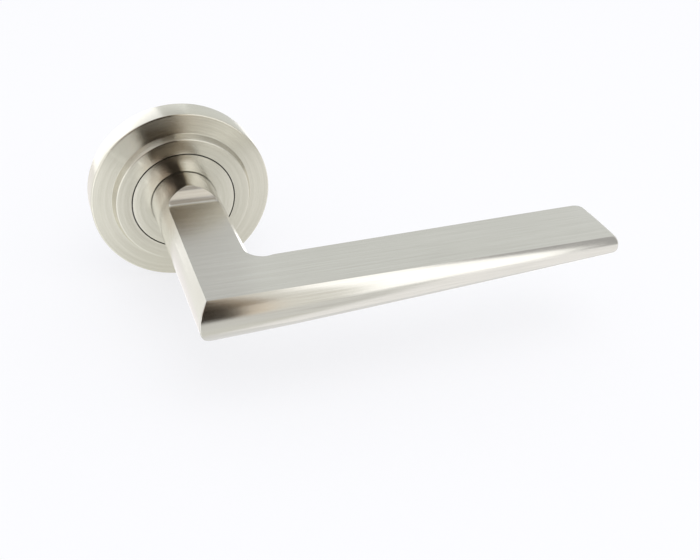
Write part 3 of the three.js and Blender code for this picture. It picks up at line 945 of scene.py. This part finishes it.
def tip_grid():
    """Levels from the flat's edge down to the spine, each wrapped round the end."""
    outline = tip_outline()
    front = grip_section(TIP_START)["crease"]
    length = LEVER_LENGTH - TIP_START
    sides = side_points(grip_section(TIP_START))
    swell = TIP_BULGE / (SIDE_SWELL - SWELL_LOST)
    grid = []
    for side, _, angle in sides[: SIDE_COLUMNS // 2 + 1]:
        spread = abs(side) / front
        stretch = spread
        if spread > 1:
            stretch = 1 + (spread - 1) * front / length * swell
        line = []
        for dx, dy in outline:
            x = TIP_START + dx * stretch
            section = grip_section(x)
            power = section["power"]
            sine = math.sin(math.radians(angle))
            tall = section["above"] if sine > 0 else section["below"]
            up = section["middle"] + tall * math.copysign(abs(sine) ** (2 / power), sine)
            if side == sides[0][0]:
                up = FLAT_HEIGHT
            centre = grip_section(TIP_START)["centre"] + (x - TIP_START) * BACK_SPREAD / 2
            line.append(Vector((x, centre + dy * spread, min(up, FLAT_HEIGHT))))
        grid.append(line)
    return grid


print("rounded end:", len(tip_outline()), "points round it")

# %% [markdown]
# ## The lever in one skin
#
# Here the grids come together: round neck, scoop, flat, corner, grip and end. The neck's
# back is closed with a plain face that sits against the collar. The count of open edges
# should be 0, because a casting is a solid and has none. The hole for the grub screw is
# drilled from below, and a small bevel eases the long creases, as polishing does: that
# bevel is what draws the thin bright line along each edge of the flat.

# %% Lever mesh
GRID_GAP = 3e-6  # metres, grid points closer than this are one point
CREASE_EASE = 0.3
GRUB_DEPTH = 15.2


def lever_mesh():
    bm = bmesh.new()
    crease_rows = [neck_row(depth) for depth in NECK_ROWS]
    for k in range(1, SCOOP_ROWS + 1):
        crease_rows.append(neck_row(mix(NECK_ROWS[-1], FLAT_START, k / SCOOP_ROWS)))
    flat_rows = [crease_rows[-1]] + [neck_row(depth) for depth in FLAT_ROWS]
    flat_rows += [corner_row(math.pi / 2 * k / CORNER_ROWS) for k in range(CORNER_ROWS + 1)]
    flat_rows += [grip_row(x) for x in grip_places]
    add_grid(bm, crease_rows + flat_rows[1:])
    add_grid(bm, top_rows())
    add_grid(bm, [flat_line(row) for row in flat_rows])
    add_grid(bm, tip_grid())
    bmesh.ops.remove_doubles(bm, verts=bm.verts, dist=GRID_GAP)
    edges = [edge for edge in bm.edges if edge.is_boundary]
    bmesh.ops.holes_fill(bm, edges=edges, sides=0)
    bmesh.ops.recalc_face_normals(bm, faces=bm.faces)
    return bm


lever_bm = lever_mesh()
open_edges = sum(1 for edge in lever_bm.edges if not edge.is_manifold)
print("lever faces:", len(lever_bm.faces), "open edges:", open_edges)
lever = finish_mesh(lever_bm, "lever_casting", smooth_below=24)


def stand_up(piece, depth):
    """Lays a piece turned about the spindle axis down the Z axis, at a depth."""
    piece.data.transform(Matrix.Rotation(math.pi / 2, 4, "X"))
    piece.data.transform(Matrix.Translation((0, -depth * MM, 0)))
    return piece


drill = turned_piece("drill", [(0, 12), (2.6, 12), (2.6, 4), (0, 4)], 0.0, 48)
combine(lever, stand_up(drill, GRUB_DEPTH))
bevel = lever.modifiers.new("eased_creases", "BEVEL")
bevel.width = CREASE_EASE * MM
bevel.segments = 3
bevel.angle_limit = math.radians(35)
bevel.harden_normals = True
stand_in(lever, "lever", brushed_nickel)

# %% [markdown]
# ## Spigot
#
# Behind the collar the lever carries on as a turned spigot, which runs in the bush. It
# has a groove for the circlip, two flats that drive the cam, and a square socket for the
# spindle. It is part of the same casting. It is made as its own mesh because it is
# turned, while the rest is cast.

# %% Spigot
SPIGOT_RADIUS = 7.4
SPIGOT_FLAT = 6.3  # from the axis to each flat
SOCKET_WIDTH = 8.6


def spigot():
    profile = [(0, 11), (SPIGOT_RADIUS, 11), (SPIGOT_RADIUS, 1), (6.5, 1), (6.5, -0.25)]
    profile += [(7.2, -0.25), (7.2, -1), (0, -1)]
    piece = turned_piece("lever_spigot", profile, 0.12, 128)
    for side in (-1, 1):
        beside = (side * (SPIGOT_FLAT + 5), 0)
        combine(piece, extruded("flat", box_outline(10, 20, beside), 2.7, -2))
    combine(piece, extruded("socket", box_outline(SOCKET_WIDTH, SOCKET_WIDTH), 10.9, -2))
    return piece


stand_in(spigot(), "lever", turned_nickel)

# %% [markdown]
# ## Mounting plate
#
# The plate is die-cast: a rim that the cover presses on, a flange for the screws and a
# raised housing for the spring with a hub in its middle. All of that is one turned
# profile. The screw and sleeve holes are drilled through the flange afterwards. It shows
# only from behind and when the cover is off, but it carries every load.

# %% Mounting plate
SCREW_CIRCLE = 20.8
BOLT_HALF_SPACING = 19.0
PLATE_RADIUS = 24.4
PLATE_DEPTH = 4.6
GROOVE_RADIUS = 23.6
HOUSING_RADIUS = 18
HOUSING_DEPTH = 8.2
HUB_RADIUS = 10.8
HUB_BORE = 9.2
HUB_BACK = 3.2
screw_places = [around(SCREW_CIRCLE, degrees) for degrees in (45, 135, 225, 315)]


def mounting_plate():
    # the rim, with its groove for the snap ring
    profile = [(PLATE_RADIUS, 0), (PLATE_RADIUS, 0.7), (GROOVE_RADIUS, 0.7)]
    profile += [(GROOVE_RADIUS, 2.1), (PLATE_RADIUS, 2.1), (PLATE_RADIUS, PLATE_DEPTH)]
    # the housing, and the step that the bush's flange sits in
    profile += [(HOUSING_RADIUS, PLATE_DEPTH), (HOUSING_RADIUS, HOUSING_DEPTH)]
    profile += [(10.6, HOUSING_DEPTH), (10.6, 7.3), (HUB_BORE, 7.3), (HUB_BORE, HUB_BACK)]
    # back round the hub, the spring's room and the hollow behind the flange
    profile += [(HUB_RADIUS, HUB_BACK), (HUB_RADIUS, 6.8), (16.6, 6.8), (16.6, 2.8)]
    profile += [(22.8, 2.8), (22.8, 0)]
    piece = turned_piece("mounting_plate_casting", profile, 0.15, 144)
    holes = [(place, 1.6) for place in screw_places]
    holes += [((side * BOLT_HALF_SPACING, 0), 2.2) for side in (-1, 1)]
    for place, radius in holes:
        outline = [(0, 6), (radius, 6), (radius, 1), (0, 1)]
        combine(piece, turned_piece("drill", outline, 0.0, 32, place))
    return piece


stand_in(mounting_plate(), "mounting_plate", cast_zinc)

# %% [markdown]
# ## Bush, snap ring, washer and circlip
#
# These rings hold the two halves together. The nylon bush carries the spigot so that
# metal never rubs on metal. The split snap ring grips the cover. The washer and the
# circlip stop the lever from pulling out. The ring and the circlip are split so that
# they can spring into their grooves, so each has a gap cut through it.

# %% Rings
bush_profile = [(7.55, 8.2), (10.3, 8.2), (10.3, 7.6), (8.9, 7.6), (8.9, 3.2), (7.55, 3.2)]
stand_in(turned_piece("bearing_bush_ring", bush_profile, 0.15, 128), "bearing_bush", nylon)

ring_profile = [(23.9, 1.8), (24.6, 1.8), (24.6, 1.0), (23.9, 1.0)]
snap_ring = turned_piece("cover_snap_ring_wire", ring_profile, 0.2, 160)
combine(snap_ring, extruded("gap", box_outline(2.4, 4, (0, -24.2)), 3, 0))
stand_in(snap_ring, "cover_snap_ring", spring_steel)

washer_profile = [(7.7, 1.4), (10.5, 1.4), (10.5, 1.0), (7.7, 1.0)]
washer = turned_piece("thrust_washer_ring", washer_profile, 0.08, 128)
stand_in(washer, "thrust_washer", zinc_plate)

circlip_profile = [(6.8, 0.7), (9.6, 0.7), (9.6, 0.05), (6.8, 0.05)]
circlip = turned_piece("retaining_circlip_ring", circlip_profile, 0.08, 128)
combine(circlip, extruded("gap", box_outline(6, 6, (0, -8.6)), 2, -1))
stand_in(circlip, "retaining_circlip", spring_steel)

# %% [markdown]
# ## Screws, sleeves and pins
#
# The screws have low round heads with a cross recess, a coarse thread and a point. The
# sleeves are tapped from behind and stand into the door. A thread is a helix, but its
# slope is too small to see at this size, so each thread is turned as a row of grooves at
# the right pitch, which keeps every screw a clean turned solid. The pins are plain, with
# their ends broken.

# %% Screws, sleeves and pins
def thread(crest, root, start, end, pitch):
    """Grooves along a bar from one depth to another, as (radius, depth) points."""
    step = pitch if end > start else -pitch
    count = int(abs(end - start) / pitch)
    points = []
    for i in range(count):
        points += [(crest, start + step * i), (root, start + step * (i + 0.5))]
    return points + [(crest, start + step * count)]


SCREW_CREST = 1.3
SCREW_ROOT = 0.95
SCREW_PITCH = 0.9
RECESS_WIDTH = 0.6
RECESS_LENGTH = 2.6


def wood_screw(name, place):
    head = [(0, 6.1), (1.2, 6.1), (2.05, 5.85), (2.4, 5.4), (2.4, 4.9), (SCREW_CREST, 4.9)]
    point = [(0.7, -7.2), (0, -9)]
    profile = head + thread(SCREW_CREST, SCREW_ROOT, 3.6, -5.6, SCREW_PITCH) + point
    piece = turned_piece(name, profile, 0.04, 40, place)
    for size in ((RECESS_WIDTH, RECESS_LENGTH), (RECESS_LENGTH, RECESS_WIDTH)):
        combine(piece, extruded("recess", box_outline(*size, place), 7, 5.3))
    return piece


for i, place in enumerate(screw_places):
    screw = wood_screw(f"wood_screw_{i + 1}_turned", place)
    stand_in(screw, f"wood_screw_{i + 1}", zinc_plate)

SLEEVE_RADIUS = 3
RIVET_RADIUS = 1.9
RIVET_START = 2.5
for side, label in ((-1, "left"), (1, "right")):
    rivet = [(0, PLATE_DEPTH), (RIVET_RADIUS, PLATE_DEPTH), (RIVET_RADIUS, RIVET_START)]
    sleeve_wall = [(SLEEVE_RADIUS, RIVET_START), (SLEEVE_RADIUS, -10)]
    profile = rivet + sleeve_wall + thread(1.7, 1.4, -9.8, -0.4, 0.7) + [(0, 0)]
    place = (side * BOLT_HALF_SPACING, 0)
    sleeve = turned_piece(f"bolt_sleeve_{label}_tapped", profile, 0.05, 64, place)
    stand_in(sleeve, f"bolt_sleeve_{label}", zinc_plate)

STOP_CIRCLE = 15.4
PIN_RADIUS = 1
PIN_FRONT = 6.5
PIN_ANGLES = {"rest_stop_pin": 122.92, "travel_stop_pin": 57.08, "spring_post": 310.27}
for node, degrees in PIN_ANGLES.items():
    profile = [(0, PIN_FRONT), (PIN_RADIUS, PIN_FRONT), (PIN_RADIUS, 3.2), (0, 3.2)]
    pin = turned_piece(f"{node}_turned", profile, 0.15, 40, around(STOP_CIRCLE, degrees))
    stand_in(pin, node, spring_steel)

# %% [markdown]
# ## Return spring
#
# The spring is round wire wound a little more than one and a half turns, with a leg
# turned out at each end: one against the post, one against the cam's finger. A curve
# with a round bevel is the natural way to wind wire. It is turned into a mesh once its
# path is right.

# %% Return spring
COIL_RADIUS = 13.2
COIL_FRONT = 6.0
COIL_TURNS = 1.6
COIL_PITCH = 1.4
COIL_STEPS = 120
WIRE_RADIUS = 0.6
LEG_RADII = (14.2, 15.0, 15.9)
MOVING_LEG = 102.455  # degrees, where the leg rests on the cam's finger


def return_spring():
    fixed_leg = MOVING_LEG + COIL_TURNS * 360
    path = [(*around(radius, fixed_leg), COIL_FRONT) for radius in reversed(LEG_RADII)]
    for i in range(3, COIL_STEPS - 2):
        share = i / COIL_STEPS
        place = around(COIL_RADIUS, fixed_leg - share * COIL_TURNS * 360)
        path.append((*place, COIL_FRONT - share * COIL_TURNS * COIL_PITCH))
    back = COIL_FRONT - COIL_TURNS * COIL_PITCH
    path += [(*around(radius, MOVING_LEG), back) for radius in LEG_RADII]
    curve = bpy.data.curves.new("wire", "CURVE")
    curve.dimensions = "3D"
    curve.bevel_depth = WIRE_RADIUS * MM
    curve.bevel_resolution = 5
    curve.use_fill_caps = True
    line = curve.splines.new("NURBS")
    line.points.add(len(path) - 1)
    for point, (x, z, depth) in zip(line.points, path):
        point.co = (x * MM, -depth * MM, z * MM, 1)
    line.order_u = 3
    line.use_endpoint_u = True
    wire = bpy.data.objects.new("wire", curve)
    mesh = bpy.data.meshes.new_from_object(wire)
    bpy.data.objects.remove(wire)
    bm = bmesh.new()
    bm.from_mesh(mesh)
    return finish_mesh(bm, "return_spring_wire", 50)


stand_in(return_spring(), "return_spring", spring_steel)

# %% [markdown]
# ## Cam and spindle
#
# The cam is a stamped disc with an arm, and the arm's end is folded forward into the
# finger that pushes the spring. Its hole has two flats that match the spigot's. The
# spindle is square bar with broken corners, and the grub screw bites on it from below,
# so it has a hexagon socket in its outer end.

# %% Cam, spindle and grub screw
FINGER_ANGLE = 112.5
FINGER_FRONT = 6.3
CAM_RADIUS = 11
CAM_FRONT = 2.6
CAM_BACK = 1.7
SPINDLE_SIDE = 8
SPINDLE_FRONT = 19.4
SPINDLE_BACK = -42
HEXAGON_FLATS = 2.5  # across flats


def turned_outline(outline, degrees):
    """An outline drawn on the lever's side, turned round the spindle axis."""
    polar = [(math.hypot(x, z), math.degrees(math.atan2(z, x))) for x, z in outline]
    return [around(radius, angle + degrees) for radius, angle in polar]


disc = [(0, CAM_FRONT), (CAM_RADIUS, CAM_FRONT), (CAM_RADIUS, CAM_BACK), (0, CAM_BACK)]
cam = turned_piece("drive_cam_plate", disc, 0.12, 128)
arm = turned_outline(box_outline(7.25, 3, (12.62, 0)), FINGER_ANGLE)
combine(cam, extruded("arm", arm, CAM_FRONT, CAM_BACK), "UNION")
finger = turned_outline(box_outline(1.7, 3, (STOP_CIRCLE, 0)), FINGER_ANGLE)
combine(cam, extruded("finger", finger, FINGER_FRONT, CAM_BACK, 0.2), "UNION")
hole = turned_piece("hole", [(0, 4), (7.7, 4), (7.7, 0), (0, 0)], 0.0, 96)
combine(hole, extruded("flats", box_outline(13.2, 30), 5, -1), "INTERSECT")
combine(cam, hole)
stand_in(cam, "drive_cam", cast_zinc)

square = box_outline(SPINDLE_SIDE, SPINDLE_SIDE)
spindle = extruded("spindle_bar", square, SPINDLE_FRONT, SPINDLE_BACK, 0.5)
stand_in(spindle, "spindle", zinc_plate)

grub_profile = [(0, 8.95)] + thread(2.3, 2.0, 8.9, 5.0, 0.5) + [(1.5, 4.35), (0, 4.35)]
grub_screw = turned_piece("grub_screw_turned", grub_profile, 0.04, 48)
hexagon_reach = HEXAGON_FLATS / 2 / math.cos(math.pi / 6)
hexagon = [around(hexagon_reach, 60 * i) for i in range(6)]
combine(grub_screw, extruded("hexagon", hexagon, 10, 6.95))
stand_in(stand_up(grub_screw, GRUB_DEPTH), "grub_screw", spring_steel)

# %% [markdown]
# ## Floor
#
# The floor is plain and pale, and glows a little like a light table, so the shadow on it
# stays soft. It doesn't show in the metal and doesn't hold back light from below: there
# the surroundings do the work, and they are built next.

# %% Floor
FLOOR_HEIGHT = -26.2 * MM
FLOOR_GLOW = (0.665, 0.667, 0.685)
FLOOR_COLOUR = (0.3, 0.3, 0.305)
HALF_FLOOR = 12.0  # metres, so that its edge is never in sight


def floor_white():
    """Plain on purpose: one colour, no shine and an even glow."""
    material, _, shader = new_material("floor_white")
    shader.inputs["Base Color"].default_value = (*FLOOR_COLOUR, 1)
    shader.inputs["Roughness"].default_value = 0.9
    shader.inputs["Specular IOR Level"].default_value = 0.0
    shader.inputs["Emission Color"].default_value = (*FLOOR_GLOW, 1)
    shader.inputs["Emission Strength"].default_value = 1.0
    return material


floor_mesh = bpy.data.meshes.new("floor")
corners = [(x, y, FLOOR_HEIGHT) for x, y in box_outline(2 * HALF_FLOOR, 2 * HALF_FLOOR)]
floor_mesh.from_pydata(corners, [], [(0, 1, 2, 3)])
floor_mesh.materials.append(floor_white())
floor = bpy.data.objects.new("floor", floor_mesh)
scene.collection.objects.link(floor)
floor.visible_glossy = False
floor.visible_shadow = False
print("floor at", round(FLOOR_HEIGHT / MM, 1), "mm, just under the rose")

# %% [markdown]
# ## Flags and screens
#
# Polished metal shows whatever surrounds it, so lighting it means building its
# surroundings. Each card here is a patch of a big sphere round the handle, set by two
# azimuths (0 is towards the hand, 90 towards the tip) and two elevations, and has its own
# level of red, green and blue light. A black flag stands round the camera and gives the
# dark wedge on the turned face and the dark side of the neck. A soft box to its right
# gives the long highlight on the front of the grip, and bright screens behind burn out
# the rim. Cards are seen in reflections only, so they leave the floor's shadow alone.

# %% Flags and screens
CARD_DISTANCE = 1.2  # metres
CARD_STEPS = 10


def glow_material(name, levels):
    """Plain light: a strength, and a tint from the share of red, green and blue."""
    strength = max(levels)
    material = bpy.data.materials.new(name)
    material.use_nodes = True
    tree = material.node_tree
    tree.nodes.clear()
    glow = tree.nodes.new("ShaderNodeEmission")
    glow.inputs["Color"].default_value = (*[level / strength for level in levels], 1)
    glow.inputs["Strength"].default_value = strength
    out = tree.nodes.new("ShaderNodeOutputMaterial")
    tree.links.new(glow.outputs[0], out.inputs["Surface"])
    return material


def card(name, across, up, levels):
    """A patch of the sphere between two azimuths and two elevations."""
    bm = bmesh.new()
    grid = []
    for i in range(CARD_STEPS + 1):
        elevation = math.radians(mix(*up, i / CARD_STEPS))
        flat = math.cos(elevation)
        line = []
        for j in range(CARD_STEPS + 1):
            turn = math.radians(mix(*across, j / CARD_STEPS))
            aim = Vector((math.sin(turn) * flat, -math.cos(turn) * flat, math.sin(elevation)))
            line.append(bm.verts.new(aim * CARD_DISTANCE))
        grid.append(line)
    for low, high in zip(grid, grid[1:]):
        for j in range(CARD_STEPS):
            bm.faces.new([low[j], low[j + 1], high[j + 1], high[j]])
    sheet = finish_mesh(bm, name)
    sheet.data.materials.append(glow_material(f"{name}_glow", levels))
    sheet.visible_camera = False
    sheet.visible_diffuse = False
    sheet.visible_shadow = False


# name, azimuths and elevations in degrees, levels of red, green and blue
CARDS = [
    ("camera_flag", (-21, 9.5), (-12, 48), (0.02, 0.012, 0.006)),
    ("flag_edge", (9.5, 13), (18, 48), (0.44, 0.34, 0.24)),
    ("warm_flag", (9.5, 13), (-12, 18), (1, 0.88, 0.74)),
    ("pale_card", (13, 20), (-12, 48), (0.98, 0.97, 0.92)),
    ("soft_box", (20, 34.5), (-12, 48), (1.8, 1.8, 1.8)),
    ("grey_card", (34.5, 64), (-12, 48), (0.53, 0.53, 0.53)),
    ("dark_ceiling_front", (-64, 9.5), (48, 78), (0.08, 0.05, 0.03)),
    ("ceiling_card", (9.5, 48), (48, 78), (0.98, 0.93, 0.86)),
    ("dim_ceiling_top", (-180, 180), (78, 90), (0.42, 0.39, 0.35)),
    ("dim_ceiling_back", (120, 240), (60, 78), (0.46, 0.42, 0.37)),
    ("left_screen", (-64, -43), (-12, 18), (2, 2, 2)),
    ("left_inner_screen", (-43, -21), (-12, 18), (1.28, 1.23, 1.2)),
    ("left_upper_card", (-64, -21), (18, 48), (0.69, 0.57, 0.5)),
    ("left_glare_screen", (-64, -6), (-40, -12), (1.5, 1.52, 1.55)),
    ("left_floor_card", (-64, -6), (-74, -40), (1.35, 1.38, 1.38)),
    ("front_glare_screen", (-6, 27), (-40, -12), (0.83, 0.83, 0.81)),
    ("front_floor_card", (-6, 27), (-74, -40), (0.87, 0.87, 0.83)),
    ("right_glare_screen", (27, 80), (-74, -12), (1.2, 1.19, 1.2)),
    ("back_screen", (-180, -149), (-12, 24), (2.25, 2.25, 2.3)),
    ("back_low_screen", (-180, -149), (-45, -12), (1.16, 1.13, 1.14)),
    ("back_high_card", (-180, -149), (24, 60), (1.13, 1.15, 1.2)),
    ("back_side_screen", (-149, -120), (-45, 24), (1.17, 1.17, 1.14)),
    ("back_glare_screen", (120, 180), (-45, -12), (1.9, 1.9, 1.9)),
    ("back_card", (120, 164), (-12, 60), (0.85, 0.87, 0.86)),
    ("back_right_screen", (164, 180), (-12, 24), (1.16, 1.19, 1.2)),
    ("back_dim_card", (164, 180), (24, 60), (0.72, 0.73, 0.73)),
]
for name, across, up, levels in CARDS:
    card(name, across, up, levels)
print("cards:", len(CARDS))

# %% [markdown]
# ## Lights
#
# The room itself is an even white. One large lamp overhead gives the floor a gentle
# shadow with a direction. The picture is shown straight, with no film curve, because a
# white studio should stay white.

# %% Lights
LAMP_PLACE = Vector((0.15, -0.25, 0.9))
LAMP_AIMS_AT = Vector((0.03, -0.03, 0))
LAMP_SIZE = 0.8
LAMP_POWER = 1.5  # watts
ROOM_COLOUR = (0.99, 0.992, 1.0)
ROOM_LEVEL = 0.93


def top_light():
    data = bpy.data.lights.new("top_light", "AREA")
    data.shape = "RECTANGLE"
    data.size = data.size_y = LAMP_SIZE
    data.energy = LAMP_POWER
    lamp = bpy.data.objects.new("top_light", data)
    lamp.location = LAMP_PLACE
    aim = LAMP_AIMS_AT - LAMP_PLACE
    lamp.rotation_euler = aim.to_track_quat("-Z", "Y").to_euler()
    lamp.visible_glossy = False
    scene.collection.objects.link(lamp)


top_light()
world = bpy.data.worlds.new("studio")
world.use_nodes = True
room = world.node_tree.nodes["Background"]
room.inputs["Color"].default_value = (*ROOM_COLOUR, 1)
room.inputs["Strength"].default_value = ROOM_LEVEL
scene.world = world
scene.view_settings.view_transform = "Standard"
